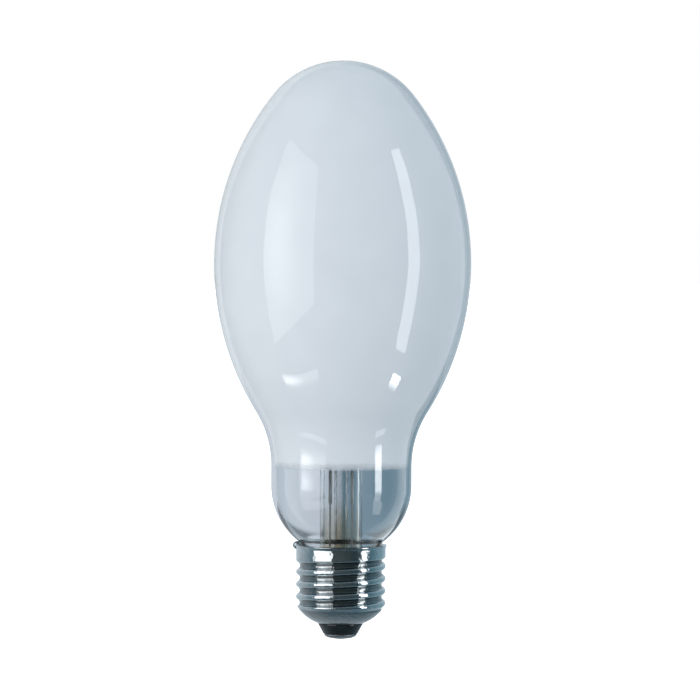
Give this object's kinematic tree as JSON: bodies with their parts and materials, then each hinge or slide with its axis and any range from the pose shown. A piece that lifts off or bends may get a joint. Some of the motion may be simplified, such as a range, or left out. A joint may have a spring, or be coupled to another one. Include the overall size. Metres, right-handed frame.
{
  "type": "high pressure sodium lamp",
  "caption": "Elliptical sodium lamp with a white coated glass bulb, a clear neck that shows its glass stem, and an Edison screw cap.",
  "frame": {"origin": "lowest point of the centre contact, on the lamp's axis", "axes": "+Z along the lamp's axis from the contact to the dome; the solder on the rim is on the -X side"},
  "size_m": [0.075, 0.075, 0.1691],
  "materials": {
    "bulb_glass": "clear polished blown glass",
    "white_powder": "matt white powder film",
    "nickel_plate": "nickel-plated rolled sheet",
    "black_glass": "black moulded glass",
    "contact_metal": "dull plated sheet",
    "solder": "dull solder",
    "cement": "baked capping cement",
    "stem_glass": "clear glass tube",
    "lead_wire": "drawn wire",
    "frame_metal": "nickel-plated wire and strip",
    "getter_metal": "pressed channel ring with dark fill",
    "alumina": "translucent sintered alumina",
    "niobium": "drawn grey metal tube",
    "frit_glass": "fused sealing glass",
    "tungsten": "dark tungsten"
  },
  "bodies": {
    "root": {"outer_bulb": "bulb_glass", "diffusing_coat": "white_powder", "screw_shell": "nickel_plate", "insulator": "black_glass", "centre_contact": "contact_metal", "centre_solder": "solder", "side_solder": "solder", "cap_cement": "cement", "stem": "stem_glass", "exhaust_tube": "stem_glass", "lead_wire_left": "lead_wire", "lead_wire_right": "lead_wire", "frame_rod": "frame_metal", "lower_bracket": "frame_metal", "upper_crossbar": "frame_metal", "dome_spring": "frame_metal", "expansion_strap": "frame_metal", "getter_ring": "getter_metal", "getter_holder": "frame_metal", "arc_tube": "alumina", "end_plug_lower": "alumina", "end_plug_upper": "alumina", "niobium_tube_lower": "niobium", "niobium_tube_upper": "niobium", "seal_frit_lower": "frit_glass", "seal_frit_upper": "frit_glass", "electrode_lower": "tungsten", "electrode_upper": "tungsten"}
  },
  "joints": []
}
